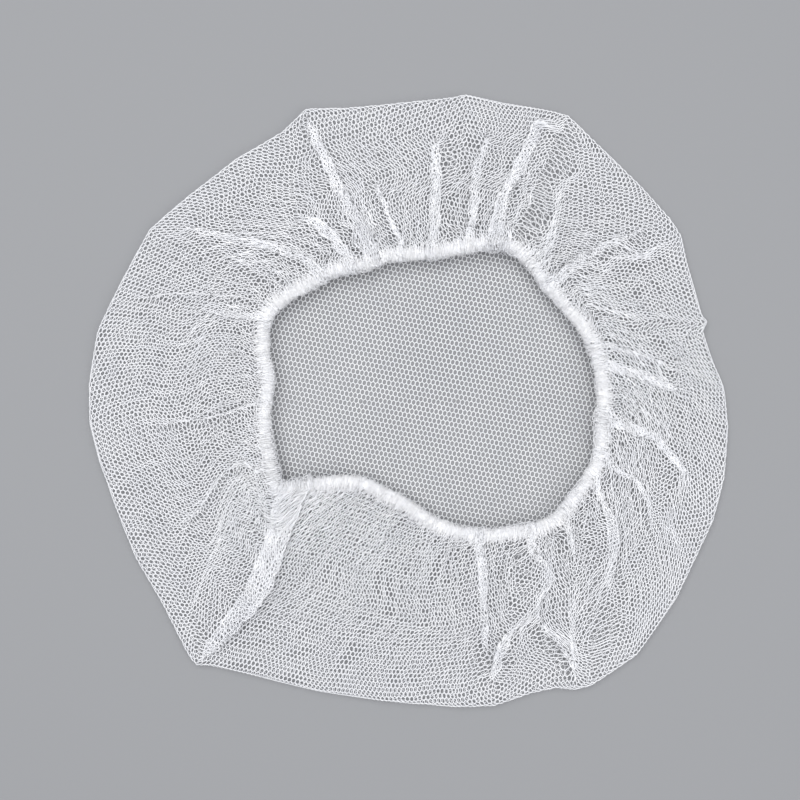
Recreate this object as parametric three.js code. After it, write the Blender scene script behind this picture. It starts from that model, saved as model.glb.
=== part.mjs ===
// Disposable hairnet: a round pouch of fine net, gathered at its mouth onto an elastic band.
// It lies as it was laid down: crown flat on the surface, margin folded back over it, mouth up.
// Units are millimetres, +Z is up, and the origin is the middle of the outline at the surface.

import * as THREE from "three";
import { mergeVertices } from "three/addons/utils/BufferGeometryUtils.js";

// Driving dimensions
const lyingRadius = 160; // half of the net's width as it lies, the measure of the outline's shares
const mouthRadius = 80; // the measure of the mouth's shares
const mouthOffsetX = 12; // from the outline's middle to the mouth's middle
const mouthOffsetY = 7;
const netWall = 1; // thickness of the netting's wall
const edgeHeight = 7; // height of the outer edge, where the net folds over
const mouthHeight = 10.5; // height of the band's middle above the surface, between two folds
const foldHeight = 8; // height of a full fold above the margin it stands on
const bandLiftShare = 0.3; // how much of a fold's height the band follows
const bandWidth = 3.6;
const bandHeight = 3;
const seamGap = 0.3; // between the band and the net's hem

// Resolution
const stepsPerFold = 6;
const crownRings = 2;
const edgeSteps = 5;
const marginRings = 7;
const bandSides = 8;
const samplesPerCorner = 12;
const tangentShare = 0.1; // how far to either side of a point a direction is taken, in folds
const mergeTolerance = 1e-3;

// Outline of the lying net, counter-clockwise: direction in degrees, share of lyingRadius
const outlineRows = [
  [2.5, 0.987], [8.5, 0.956], [13.5, 0.946], [15, 0.966], [16.5, 0.956], [26.5, 0.973],
  [31.5, 0.998], [35, 0.998], [43, 0.991], [54, 1.0], [61, 1.025], [65.5, 1.008],
  [72.5, 0.981], [79.5, 0.978], [82.5, 0.96], [92, 0.936], [102, 0.941], [109.5, 0.972],
  [115, 0.936], [125.5, 0.934], [137, 0.946], [146.5, 0.976], [156.5, 0.977], [167, 1.002],
  [177, 1.006], [184, 1.004], [190.5, 0.99], [200, 0.979], [210, 0.988], [219.5, 1.001],
  [229, 1.054], [231, 1.062], [233, 1.037], [238, 1.0], [252.5, 0.952], [265, 0.942],
  [278.5, 0.968], [285.5, 0.99], [292.5, 0.991], [297, 1.008], [300, 1.042], [302.5, 1.056],
  [312, 1.067], [323.5, 1.039], [338.5, 1.022], [346.5, 1.015], [355.5, 1.002],
];

// Mouth, about its own middle: direction in degrees, share of mouthRadius
const mouthRows = [
  [9.5, 1.042], [20, 1.016], [30, 0.976], [42, 0.956], [57, 1.003], [64.5, 0.994],
  [77.5, 0.9], [92.5, 0.841], [109, 0.87], [118.5, 0.88], [130, 0.958], [139.5, 1.01],
  [149, 1.089], [155, 1.128], [160, 1.129], [167.5, 1.091], [177.5, 1.035], [190.5, 1.078],
  [201.5, 1.11], [209, 1.146], [213, 1.16], [216.5, 1.046], [220, 0.941], [229, 0.784],
  [237, 0.732], [247, 0.735], [256, 0.751], [266, 0.818], [276.5, 0.897], [286, 0.959],
  [297, 1.022], [307.5, 1.101], [313, 1.123], [321.5, 1.116], [330, 1.124], [337, 1.124],
  [348, 1.07], [357, 1.061],
];

// One row for each fold of the margin, counter-clockwise. mouth and edge are the directions of
// its two ends, rise its share of foldHeight, reach how far out it runs, width its share of the
// room between its neighbours, and lean how far its crest tips over, as a share of its rise
const foldColumns = ["mouth", "edge", "rise", "reach", "width", "lean"];
const foldRows = [
  [12, 3, 1.0, 0.9, 0.9, -0.2],
  [24, 15, 0.7, 1.0, 0.8, 0],
  [37, 31.5, 0.8, 0.9, 0.7, 0.2],
  [54, 61, 0.6, 0.9, 0.7, 0],
  [64, 65.5, 1.0, 0.8, 1.0, 0.2],
  [72.5, 73, 0.8, 0.7, 0.8, 0],
  [94, 84.5, 0.7, 0.7, 0.7, -0.2],
  [109, 95, 0.5, 0.6, 0.8, 0],
  [123, 109.5, 1.0, 1.0, 0.9, 0.2],
  [131.5, 122.5, 0.4, 0.7, 0.8, 0],
  [140, 133, 0.5, 0.7, 0.8, 0],
  [148.5, 146.5, 0.7, 0.9, 0.8, -0.2],
  [156.5, 162, 0.6, 0.7, 0.8, 0],
  [164.5, 171, 0.4, 0.6, 0.9, 0],
  [175.5, 181.5, 0.4, 0.6, 0.9, 0],
  [189.5, 196.5, 0.4, 0.6, 0.9, 0],
  [202, 217, 0.5, 0.7, 0.8, 0],
  [215, 231, 1.2, 1.0, 1.0, 0.4],
  [227, 240, 0.2, 0.5, 0.9, 0],
  [248.5, 251.5, 0.3, 0.6, 0.8, 0],
  [270, 265, 0.3, 0.6, 0.8, 0],
  [287.5, 278, 0.6, 0.8, 0.6, 0],
  [304, 285.5, 1.0, 1.0, 0.7, -0.2],
  [315, 300, 0.5, 0.9, 0.8, 0],
  [329.5, 303, 0.9, 0.8, 0.8, 0.4],
  [342.5, 330, 0.4, 0.7, 0.8, 0],
  [355, 344, 0.8, 0.8, 0.9, 0.2],
];

const foldTable = foldRows.map((row) => Object.fromEntries(foldColumns.map((name, k) => [name, row[k]])));
const folds = foldTable.length;
const turnSteps = folds * stepsPerFold;

// A fold rises from its outer end, is highest past its middle and settles again at the mouth
const foldSwing = 0.87 * Math.PI;

const radians = THREE.MathUtils.degToRad;

// The distance from the middle to a closed outline in any direction
function outlineReach(rows, radius) {
  const corners = rows.map(([direction, share]) => {
    const angle = radians(direction);
    return new THREE.Vector3(Math.cos(angle), Math.sin(angle), 0).multiplyScalar(share * radius);
  });
  const curve = new THREE.CatmullRomCurve3(corners, true, "centripetal");
  const samples = curve.getPoints(corners.length * samplesPerCorner).map((point) => ({
    angle: Math.atan2(point.y, point.x),
    reach: Math.hypot(point.x, point.y),
  }));
  samples.pop();
  samples.sort((one, other) => one.angle - other.angle);
  const first = samples[0];
  const last = samples[samples.length - 1];
  samples.push({ angle: first.angle + 2 * Math.PI, reach: first.reach });
  samples.unshift({ angle: last.angle - 2 * Math.PI, reach: last.reach });
  return (angle) => {
    const wrapped = Math.atan2(Math.sin(angle), Math.cos(angle));
    const after = samples.findIndex((sample) => sample.angle > wrapped);
    const [low, high] = [samples[after - 1], samples[after]];
    const share = (wrapped - low.angle) / (high.angle - low.angle);
    return THREE.MathUtils.lerp(low.reach, high.reach, share);
  };
}

const outlineAt = outlineReach(outlineRows, lyingRadius);
const mouthAt = outlineReach(mouthRows, mouthRadius);

// A turn counts folds round the net: whole numbers are crests, halves the troughs between them
const foldAt = (index) => foldTable[THREE.MathUtils.euclideanModulo(index, folds)];

function directionAt(turn, end) {
  const before = Math.floor(turn);
  const start = foldAt(before)[end];
  const step = THREE.MathUtils.euclideanModulo(foldAt(before + 1)[end] - start, 360);
  return radians(start + step * (turn - before));
}

function edgePoint(turn) {
  const angle = directionAt(turn, "edge");
  return new THREE.Vector2(Math.cos(angle), Math.sin(angle)).multiplyScalar(outlineAt(angle));
}

function mouthPoint(turn) {
  const angle = directionAt(turn, "mouth");
  const reach = mouthAt(angle);
  return new THREE.Vector2(mouthOffsetX + reach * Math.cos(angle), mouthOffsetY + reach * Math.sin(angle));
}

// The crests near this turn, each with its share of full height here
function crests(turn, inward) {
  const near = Math.round(turn);
  return [near - 1, near, near + 1].map((index) => {
    const fold = foldAt(index);
    const across = Math.min(Math.abs(turn - index) / fold.width, 1);
    const along = THREE.MathUtils.clamp((inward - 1 + fold.reach) / fold.reach, 0, 1);
    const share = fold.rise * 0.5 * (1 + Math.cos(Math.PI * across)) * Math.sin(foldSwing * along);
    return { share, lean: fold.lean };
  });
}

const liftAt = (turn, inward) =>
  foldHeight * crests(turn, inward).reduce((sum, crest) => sum + crest.share, 0);
const leanAt = (turn, inward) =>
  foldHeight * crests(turn, inward).reduce((sum, crest) => sum + crest.share * crest.lean, 0);

// The line round the mouth that the band is centred on
function bandLine(turn) {
  const point = mouthPoint(turn);
  return new THREE.Vector3(point.x, point.y, mouthHeight + bandLiftShare * liftAt(turn, 1));
}

// Outward across the band, level
function bandNormal(turn) {
  const tangent = mouthPoint(turn + tangentShare).sub(mouthPoint(turn - tangentShare)).normalize();
  return new THREE.Vector3(tangent.y, -tangent.x, 0);
}

// The middle of the netting along one fold line: over the crown, round the edge, in to the hem
function nettingLine(turn) {
  const edge = edgePoint(turn);
  const outward = edge.clone().normalize();
  const tuck = edge.clone().addScaledVector(outward, -edgeHeight / 2);
  const bend = (edgeHeight - netWall) / 2;
  const line = [];
  for (let ring = 0; ring < crownRings; ring += 1) {
    const share = ring / crownRings;
    line.push(new THREE.Vector3(tuck.x * share, tuck.y * share, netWall / 2));
  }
  for (let step = 0; step <= edgeSteps; step += 1) {
    const angle = (Math.PI * step) / edgeSteps;
    const across = tuck.clone().addScaledVector(outward, bend * Math.sin(angle));
    line.push(new THREE.Vector3(across.x, across.y, netWall / 2 + bend * (1 - Math.cos(angle))));
  }
  const top = line[line.length - 1];
  const hem = bandLine(turn).addScaledVector(bandNormal(turn), bandWidth / 2 + seamGap);
  const sideways = new THREE.Vector3(-outward.y, outward.x, 0);
  for (let ring = 1; ring <= marginRings; ring += 1) {
    const inward = ring / marginRings;
    const point = top.clone().lerp(hem, inward);
    const settled = ring === marginRings;
    if (!settled) {
      point.z += liftAt(turn, inward) - bandLiftShare * inward * liftAt(turn, 1);
      point.addScaledVector(sideways, leanAt(turn, inward));
    }
    line.push(point);
  }
  return line;
}

// A lathe of the right number of points, each of which is then set in its place
function placedLathe(profilePoints, closed, place) {
  const profile = Array.from({ length: profilePoints }, (_, k) => new THREE.Vector2(1, k));
  if (closed) profile.push(profile[0].clone());
  const lathe = new THREE.LatheGeometry(profile, turnSteps);
  lathe.deleteAttribute("normal");
  lathe.deleteAttribute("uv");
  const position = lathe.getAttribute("position");
  for (let step = 0; step <= turnSteps; step += 1) {
    for (let k = 0; k < profile.length; k += 1) {
      const point = place(step % turnSteps, k % profilePoints);
      position.setXYZ(step * profile.length + k, point.x, point.y, point.z);
    }
  }
  const geometry = mergeVertices(lathe, mergeTolerance);
  geometry.computeVertexNormals();
  return geometry;
}

function nettingGeometry() {
  const lines = Array.from({ length: turnSteps }, (_, step) => nettingLine(step / stepsPerFold));
  const last = lines[0].length - 1;
  const walls = lines.map((line, step) => {
    const next = lines[(step + 1) % turnSteps];
    const before = lines[(step + turnSteps - 1) % turnSteps];
    return line.map((point, k) => {
      if (k === 0) return new THREE.Vector3(0, 0, -netWall / 2);
      const along = line[Math.min(k + 1, last)].clone().sub(line[Math.max(k - 1, 1)]);
      const round = next[k].clone().sub(before[k]);
      return along.cross(round).setLength(-netWall / 2);
    });
  });
  return placedLathe(2 * (last + 1), false, (step, k) => {
    const outside = k <= last;
    const at = outside ? k : 2 * last + 1 - k;
    return lines[step][at].clone().addScaledVector(walls[step][at], outside ? 1 : -1);
  });
}

function bandGeometry() {
  return placedLathe(bandSides, true, (step, k) => {
    const turn = step / stepsPerFold;
    const angle = (2 * Math.PI * (k + 0.5)) / bandSides;
    const fit = Math.cos(Math.PI / bandSides);
    const point = bandLine(turn);
    point.addScaledVector(bandNormal(turn), (bandWidth / 2 / fit) * Math.cos(angle));
    point.z += (bandHeight / 2 / fit) * Math.sin(angle);
    return point;
  });
}

const netting = new THREE.MeshStandardMaterial({ color: 0xeef1f2, roughness: 0.6, metalness: 0 });
const elastic = new THREE.MeshStandardMaterial({ color: 0xfafaf7, roughness: 0.7, metalness: 0 });

const net = new THREE.Mesh(nettingGeometry(), netting);
net.name = "net";

const band = new THREE.Mesh(bandGeometry(), elastic);
band.name = "elastic_band";

// The origin is under the middle of the lying net
const lying = new THREE.Group();
lying.add(net, band);
const middle = new THREE.Box3().setFromObject(lying).getCenter(new THREE.Vector3());
lying.position.set(-middle.x, -middle.y, 0);

const hairnet = new THREE.Group();
hairnet.add(lying);

export default hairnet;
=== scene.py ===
# Disposable hairnet, lying crown down with its mouth up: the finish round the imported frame.
import math
from collections import namedtuple

import bmesh
import bpy
import numpy as np
from mathutils import Matrix, Vector


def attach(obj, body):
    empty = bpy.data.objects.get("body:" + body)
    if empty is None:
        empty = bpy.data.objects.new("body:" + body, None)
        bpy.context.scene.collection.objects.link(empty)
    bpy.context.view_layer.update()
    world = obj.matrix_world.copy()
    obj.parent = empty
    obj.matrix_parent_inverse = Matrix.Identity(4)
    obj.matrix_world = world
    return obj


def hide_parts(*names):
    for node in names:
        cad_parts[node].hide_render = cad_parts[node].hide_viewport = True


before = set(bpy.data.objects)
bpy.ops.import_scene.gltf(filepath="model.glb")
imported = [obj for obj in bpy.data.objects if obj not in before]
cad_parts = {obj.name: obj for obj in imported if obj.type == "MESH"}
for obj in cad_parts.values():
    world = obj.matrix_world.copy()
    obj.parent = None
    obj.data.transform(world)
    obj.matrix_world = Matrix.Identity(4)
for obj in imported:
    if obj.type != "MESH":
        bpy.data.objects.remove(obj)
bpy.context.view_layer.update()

MM = 0.001

# Sizes of the lying net, as in the part's source
LYING_RADIUS = 160 * MM
MOUTH_RADIUS = 80 * MM
MOUTH_MIDDLE = np.array([12, 7]) * MM
NET_WALL = 1 * MM
EDGE_HEIGHT = 7 * MM
MOUTH_HEIGHT = 10.5 * MM
FOLD_HEIGHT = 8 * MM
BAND_LIFT = 0.3  # the share of the main folds' height that the band follows
FOLD_SWING = 0.87 * math.pi  # how far through a half wave a fold has run at the mouth

# The netting: cell width along a row, height of a row, how far the rows are turned, and its thread
CELL_WIDTH = 2.2 * MM
ROW_HEIGHT = 2.38 * MM
ROW_TURN = math.radians(-11.3)
THREAD = 0.64 * MM
CROWN_LEVEL = 0.42 * MM  # middle of the crown's threads above the floor
SHEET_DOUBLINGS = 8  # the flat sheet is one cell doubled this often each way
MERGED_WITHIN = 1e-3  # corners of neighbouring cells, in shares of a cell's side
CROWN_PIECES = 2
MARGIN_PIECES = 5

OUTLINE_GROWTH = 1.007  # threads reach a little less far than the solid's wall
OUTLINE_STRAIGHTNESS = 0.8  # from 0, a smooth curve, to 1, straight runs between the corners
CURVE_STEPS = 12  # between two corners

# Outline of the lying net, counter-clockwise: direction in degrees, share of LYING_RADIUS
OUTLINE = [
    (2.5, 0.987), (8.5, 0.956), (13.5, 0.946), (15, 0.966), (16.5, 0.956), (26.5, 0.973),
    (31.5, 0.998), (35, 0.998), (43, 0.991), (54, 1.0), (61, 1.025), (65.5, 1.008),
    (72.5, 0.981), (79.5, 0.978), (82.5, 0.96), (92, 0.936), (102, 0.941), (109.5, 0.972),
    (115, 0.936), (125.5, 0.934), (137, 0.946), (146.5, 0.976), (156.5, 0.977), (167, 1.002),
    (177, 1.006), (184, 1.004), (190.5, 0.99), (200, 0.979), (210, 0.988), (219.5, 1.001),
    (229, 1.054), (231, 1.062), (233, 1.037), (238, 1.0), (252.5, 0.952), (265, 0.942),
    (278.5, 0.968), (285.5, 0.99), (292.5, 0.991), (297, 1.008), (300, 1.042), (302.5, 1.056),
    (312, 1.067), (323.5, 1.039), (338.5, 1.022), (346.5, 1.015), (355.5, 1.002),
]

# Mouth, about its own middle: direction in degrees, share of MOUTH_RADIUS
MOUTH = [
    (9.5, 1.042), (20, 1.016), (30, 0.976), (42, 0.956), (57, 1.003), (64.5, 0.994),
    (77.5, 0.9), (92.5, 0.841), (109, 0.87), (118.5, 0.88), (130, 0.958), (139.5, 1.01),
    (149, 1.089), (155, 1.128), (160, 1.129), (167.5, 1.091), (177.5, 1.035), (190.5, 1.078),
    (201.5, 1.11), (209, 1.146), (213, 1.16), (216.5, 1.046), (220, 0.941), (229, 0.784),
    (237, 0.732), (247, 0.735), (256, 0.751), (266, 0.818), (276.5, 0.897), (286, 0.959),
    (297, 1.022), (307.5, 1.101), (313, 1.123), (321.5, 1.116), (330, 1.124), (337, 1.124),
    (348, 1.07), (357, 1.061),
]

# The margin's main folds: directions of the two ends, rise as a share of FOLD_HEIGHT, how far out
# it runs, width as a share of the room it has, how far its crest tips over as a share of its rise,
# and how far its crest is laid over its neighbour, in millimetres, below 0 to the other side
FOLDS = [
    (12, 3, 1.0, 0.9, 0.9, -0.2, -2),
    (24, 15, 0.7, 1.0, 0.8, 0, 0),
    (37, 31.5, 0.8, 0.9, 0.7, 0.2, 2),
    (54, 61, 0.6, 0.9, 0.7, 0, 0),
    (64, 65.5, 1.0, 0.8, 1.0, 0.2, 3),
    (72.5, 73, 0.8, 0.7, 0.8, 0, 0),
    (94, 84.5, 0.7, 0.7, 0.7, -0.2, -1),
    (109, 95, 0.5, 0.6, 0.8, 0, 0),
    (123, 109.5, 1.0, 1.0, 0.9, 0.2, 3),
    (131.5, 122.5, 0.4, 0.7, 0.8, 0, 0),
    (140, 133, 0.5, 0.7, 0.8, 0, 0),
    (148.5, 146.5, 0.7, 0.9, 0.8, -0.2, -2),
    (156.5, 162, 0.6, 0.7, 0.8, 0, 0),
    (164.5, 171, 0.4, 0.6, 0.9, 0, 0),
    (175.5, 181.5, 0.4, 0.6, 0.9, 0, 0),
    (189.5, 196.5, 0.4, 0.6, 0.9, 0, 0),
    (202, 217, 0.5, 0.7, 0.8, 0, 0),
    (215, 231, 0.7, 0.9, 1.0, 0.2, 0),
    (227, 240, 0.2, 0.5, 0.9, 0, 0),
    (248.5, 251.5, 0.3, 0.6, 0.8, 0, 0),
    (270, 265, 0.3, 0.6, 0.8, 0, 0),
    (287.5, 278, 0.6, 0.8, 0.6, 0, 0),
    (304, 285.5, 1.0, 1.0, 0.7, -0.2, -2),
    (315, 300, 0.5, 0.9, 0.8, 0, 0),
    (329.5, 303, 0.9, 0.8, 0.8, 0.4, 5),
    (342.5, 330, 0.4, 0.7, 0.8, 0, 0),
    (355, 344, 0.8, 0.8, 0.9, 0.2, 3),
]
FOLD_TABLE = np.array(FOLDS, float)
FOLD_COUNT = len(FOLDS)

# Where the margin's cloth is crowded into soft folds and where it lies open: how much (below 0 is
# open), the half width at the first and last point, how far it is laid over as a pleat, as a share
# of PLEAT_OVERLAP and below 0 to the other side, and the points. Lengths are in millimetres
CROWDS = [
    (1.0, 3.5, 6.5, 0.7, [(-53, 144), (-45, 130), (-35, 114), (-28, 98), (-21, 82)]),
    (0.8, 3, 5, 0.6, [(-113, 86), (-86, 79), (-63, 74), (-49, 67)]),
    (0.7, 3, 4, 1, [(-56, 93), (-45, 86), (-34, 75)]),
    (0.6, 2.5, 4.5, 0.5, [(-102, 44), (-82, 42), (-71, 41)]),
    (0.35, 3, 4, 0, [(-145, 25), (-107, 28), (-80, 32)]),
    (0.45, 4, 5, 0.2, [(-137, 51), (-115, 53), (-77, 49)]),
    (0.35, 2, 2.5, 0, [(-76, 104), (-73, 89)]),
    (0.4, 2, 2.5, 0, [(-130, 87), (-112, 85)]),
    (0.6, 5, 3.5, 0.2, [(-74, -24), (-91, -36), (-104, -54), (-116, -69)]),
    (0.4, 4.5, 3, 0.22, [(-74, -2), (-100, -9), (-130, -12)]),
    (-0.3, 5, 4, 0, [(-48, -54), (-57, -84), (-66, -104)]),
    (0.8, 9.5, 3.5, -1, [(-61, -47), (-72, -78), (-81, -96), (-106, -130)]),
    (1.0, 7, 6, 0, [(-76, -42), (-88, -70), (-99, -94), (-109, -116)]),
    (1.0, 6, 5, 0, [(-71, -52), (-79, -76), (-89, -99), (-101, -121)]),
    (0.6, 6, 5, 0, [(-82, -30), (-103, -62), (-116, -88)]),
    (0.4, 5, 4, 0, [(-74, 15), (-105, 15), (-142, 15)]),
    (1.1, 3, 1.5, 1, [(34, -67), (36, -83), (37, -110), (38, -136)]),
    (1.0, 4.5, 5, 0.6, [
        (60, -66), (66, -79), (69, -87), (65, -97), (57, -107), (49, -118), (44, -131), (41, -142),
    ]),
    (0.9, 2, 2, 1, [(63, -105), (71, -117), (78, -127), (83, -141)]),
    (0.6, 4, 3, 0.5, [(77, -59), (80, -79)]),
    (0.6, 4.5, 3, 0.7, [(90, -47), (95, -74), (95, -101)]),
    (0.4, 2, 2, 0, [(77, -105), (90, -117)]),
    (0.3, 3.5, 3, 0, [(12, -62), (0, -99)]),
    (0.25, 3.5, 3, 0, [(-10, -49), (-30, -99)]),
    (1.1, 5, 2, 0.7, [(75, 60), (90, 70), (104, 78), (120, 87)]),
    (0.4, 2.5, 2, 0, [(118, 86), (133, 88)]),
    (0.4, 2.5, 2.5, 0, [(95, 44), (110, 43), (124, 46)]),
    (0.9, 1.5, 2, 0.5, [(149, 40), (138, 33), (134, 25), (133, 17)]),
    (1.1, 5, 2.5, 0.6, [(94, 18), (110, 14), (124, 9), (136, 7)]),
    (0.5, 3, 2, 0, [(132, 8), (156, 5)]),
    (0.7, 4, 3, 0.5, [(97, 28), (113, 24), (127, 20)]),
    (0.9, 4, 2.5, 1, [(94, -8), (108, -14), (121, -20), (128, -27), (140, -39)]),
    (0.6, 3, 2.5, 0.6, [(98, -31), (110, -38), (118, -51), (120, -66)]),
    (0.9, 2, 3, 1, [(15, 134), (13, 119), (13, 103), (12, 85)]),
    (0.9, 2, 3, 1, [(38, 136), (39, 128), (35, 119), (33, 103), (31, 83)]),
    (1.1, 4, 7.5, 0.8, [(67, 144), (62, 130), (56, 114), (50, 99), (44, 82)]),
    (0.4, 3, 4, 0, [(60, 118), (56, 100), (54, 82)]),
    (0.9, 2, 3, 0.3, [(74, 111), (64, 94), (59, 81)]),
    (0.7, 3, 4, 0.6, [(-19, 111), (-10, 90), (-4, 80)]),
    (0.4, 2.5, 3, 0, [(0, 116), (3, 83)]),
    (-1.0, 5.5, 3.5, 0, [(21, 128), (23, 93)]),
    (-0.8, 2.5, 2.5, 0, [(69, 126), (64, 98)]),
    (-0.7, 3, 2.5, 0, [(52, 126), (44, 109)]),
    (-0.6, 8, 7, 0, [(83, 116), (88, 76)]),
    (-0.6, 3.5, 3.5, 0, [(84, 52), (91, 45)]),
    (-0.5, 4.5, 4.5, 0, [(103, 36), (125, 28)]),
    (-0.7, 4, 4, 0, [(145, 28), (151, 15)]),
    (-0.6, 3.5, 4, 0, [(97, -18), (104, -49)]),
    (-0.5, 9, 7, 0, [(115, -79), (105, -119)]),
    (-0.6, 4, 4, 0, [(85, -77), (84, -119)]),
    (-0.9, 5, 8, 0, [(63, -117), (60, -144)]),
    (-0.7, 5, 4, 0, [(46, -79), (49, -99)]),
    (-0.9, 3.5, 4, 0, [(31, -94), (32, -140)]),
    (-0.5, 9, 9, 0, [(-5, -94), (5, -129)]),
    (-0.5, 8, 8, 0, [(-30, -109), (-20, -142)]),
    (-0.9, 4, 5, 0, [(-99, -125), (-74, -105)]),
    (-0.6, 6, 5, 0, [(-130, -74), (-112, -104)]),
    (-0.6, 3, 3, 0, [(-110, 75), (-89, 69)]),
    (-0.8, 2, 2, 0, [(-57, 85), (-40, 74)]),
    (-0.6, 4.5, 4.5, 0, [(-40, 133), (-30, 116)]),
    (-0.4, 5, 7, 0, [(-92, -12), (-115, -34)]),
    (-0.4, 7, 6, 0, [(128, 61), (140, 46)]),
    (-0.3, 6, 6, 0, [(-80, 121), (-60, 101)]),
    (-0.2, 7, 7, 0, [(123, 1), (145, -19)]),
]
CROWD_LIFT = 0.8 * MM  # how high a full crowded fold stands
LEAST_LIFTED, MOST_LIFTED = -0.6, 1.2  # crowding past these changes the height no more
CROWD_FALL = 0.7  # how steeply crowding falls off beside its line
CROWD_GROWTH = 0.55  # how strongly it draws the cells together, as a power of e
CROWD_ONSET = 14  # levels over which it sets in from the edge
CROWD_STEP = 4  # it is worked out at one of so many samples round the net
OPENED = 0.35  # how much of the open places' strength stretches the cells
MOST_CROWD = 1.0  # where crowded folds meet, they don't add up past this

# Pleats: the cloth is pushed sideways, more and more up to a crest, and turned back past it
PLEAT_OVERLAP = 2.6  # the push, as a share of the crowded fold's half width
PLEAT_RISE = 1.15  # the length before the crest over which it grows, as a share of the push
PLEAT_TURN = 0.36  # the length past the crest over which it ends, as a share of the push
LEAST_TURN = 1.8 * MM
PLEAT_SETBACK = 0.62  # the share of the push by which the crest is set back onto the pleat's line
PLEAT_LIFT = 0.35 * MM  # lift of the upper layer
PLEAT_LIFT_SHARE = 0.05  # and the share of the push that is added to it
LAYER_RISE = 1.5  # the upper layer's rise is this many times as long as the push's
LAYER_FALL = 0.3  # it begins to fall this share of the turn before the crest
PLEATED_SHARE = 0.7  # how much crowding is left where a crowded fold is laid over
PLEAT_WAVER = 0.14 * MM  # how far a crest wavers to either side
PUSH_WAVER = 0.05  # and how much its push does
PLEAT_WAVES = ((1.0, 17, 2.4), (0.7, 41, 1.3))  # strength, angle over the margin, step to the next
PLEAT_EARLY = 0.03  # a pleat begins this share of the margin before its first point
PLEAT_FADE = 0.15  # and begins or ends over this share of it
RUNS_TO_MOUTH = 0.75  # a pleat whose last point lies further in than this has no end before the hem
PATH_LEVELS, PATH_STEP = 41, 8  # how finely a pleat's points are looked up, inward and round

# How the margin is resolved before the netting is laid on it
TURN_STEPS = 160  # between two folds
EDGE_LEVELS = 8
MARGIN_LEVELS = 60
HEM_LEVELS = 10

# Crowded folds draw cloth towards them round the net. The slow swell of that drift is held back,
# less so further in, and the drift is evened from level to level
SWELL_REACH = 1.2  # in main folds
SWELL_HELD = 0.8
SWELL_FREED = 0.5  # how much less is held further in
FREED_FROM, FREED_OVER = 0.12, 0.4  # where that sets in, as shares of the margin
EVENED_LEVELS, EVENED_WIDTH = 9, 2

# The hem: the netting's last stretch, turned over the elastic
HEM_RADIUS = 2.6 * MM
HEM_LUMPS = np.random.default_rng(5).uniform(-0.1, 0.22, 74)  # added to its size, as shares
HEM_START = math.radians(62)  # angles round the band, up from its outer side
HEM_END = math.radians(235)
HEM_CALM = 0.45  # how much of their height the gathers lose round the hem

# A crest that is laid over: its width as a share of the fold's, how much each millimetre of it
# sharpens and flattens the crest, and how far each millimetre lifts its upper layer
CREST_WIDTH = 0.42
CREST_SHARPENING = 0.05
CREST_FLATTENING = 0.1
LAYER_LIFT = 0.12 * MM

# Gathers, waves round the mouth: how many, their first seed, their height, the least and most of
# the margin that they run over, and the share of their height that is left at the hem
Gathers = namedtuple("Gathers", "count seed height shortest longest left")
MID_GATHERS = Gathers(96, 11, 1.25 * MM, 0.25, 0.75, 0.35)
FINE_GATHERS = Gathers(236, 31, 0.7 * MM, 0.12, 0.34, 0.7)
GATHER_STRENGTHS = (0.15, 1.0)
GATHER_WANDER = 0.55  # how far a gather lies off its even place, in waves
GATHER_STRAY = 1.2  # and how much further at the edge
GATHER_SLANT = 0.35 * MM

# Where the margin changes on its way from the edge, 0, to the hem, 1: overlaps are carried along
# the band from here, crests and crowded folds settle, main folds settle, and gathers draw close
OVERLAPS_CARRIED = 0.7
CRESTS_SETTLE = 0.85
FOLDS_SETTLE = 0.8
GATHERS_CLOSE = 0.82

EDGE_UNEVENNESS = 0.14  # the share of the rounded edge's height that comes and goes
LIMP_LIFT = 0.7  # the share of a main fold's height that the limp net keeps
SAG = 2.4 * MM  # how far the margin sinks between edge and mouth where no fold carries it
CROWN_WAVE, CROWN_SWELL = 30 * MM, 0.16 * MM
CROWN_ONSET = 14 * MM  # how far inside the edge the crown's swell is full
SLACK = 0.16 * MM
SLACK_ONSET = 20 * MM  # past the edge
FINE_SLACK = 0.12 * MM
FINE_ONSET = 8 * MM
FINE_LEAST = 0.3  # the share of it at the edge, before it grows to the mouth
HEM_HOLD = 0.6  # how much of that growth the hem takes away
HEM_ONSET = 4 * MM


# Curves and tables

def polar(angle, distance):
    return np.stack([np.cos(angle) * distance, np.sin(angle) * distance], -1)


def unit(vectors):
    return vectors / np.linalg.norm(vectors, axis=-1)[..., None]


def places_along(line):
    """How far along a line each of its points lies."""
    return np.concatenate([[0], np.cumsum(np.linalg.norm(np.diff(line, axis=0), axis=1))])


def centripetal(corners, samples):
    """Points of a closed, centripetal Catmull-Rom curve through the corners."""
    found = []
    for k in range(len(corners)):
        a, b, c, d = (corners[(k + step) % len(corners)] for step in (-1, 0, 1, 2))
        knots = np.cumsum([0.0] + [np.linalg.norm(q - p) ** 0.5 for p, q in ((a, b), (b, c), (c, d))])
        at = np.linspace(knots[1], knots[2], samples, endpoint=False)[:, None]

        def between(p, q, i, j):
            return p * (knots[j] - at) / (knots[j] - knots[i]) + q * (at - knots[i]) / (knots[j] - knots[i])

        ab, bc, cd = between(a, b, 0, 1), between(b, c, 1, 2), between(c, d, 2, 3)
        found.append(between(between(ab, bc, 0, 2), between(bc, cd, 1, 3), 1, 2))
    return np.concatenate(found)


def corner_points(rows, radius):
    return polar(np.radians([row[0] for row in rows]), np.array([row[1] for row in rows]) * radius)


def sorted_reach(points):
    """The directions of points from the middle, sorted, and how far away they lie."""
    angle = np.arctan2(points[:, 1], points[:, 0]) % (2 * math.pi)
    order = np.argsort(angle)
    return angle[order], np.linalg.norm(points, axis=1)[order]


def reach_table(rows, radius):
    """Directions, sorted, and how far a closed outline lies from its middle there."""
    return sorted_reach(centripetal(corner_points(rows, radius), CURVE_STEPS))


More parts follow.
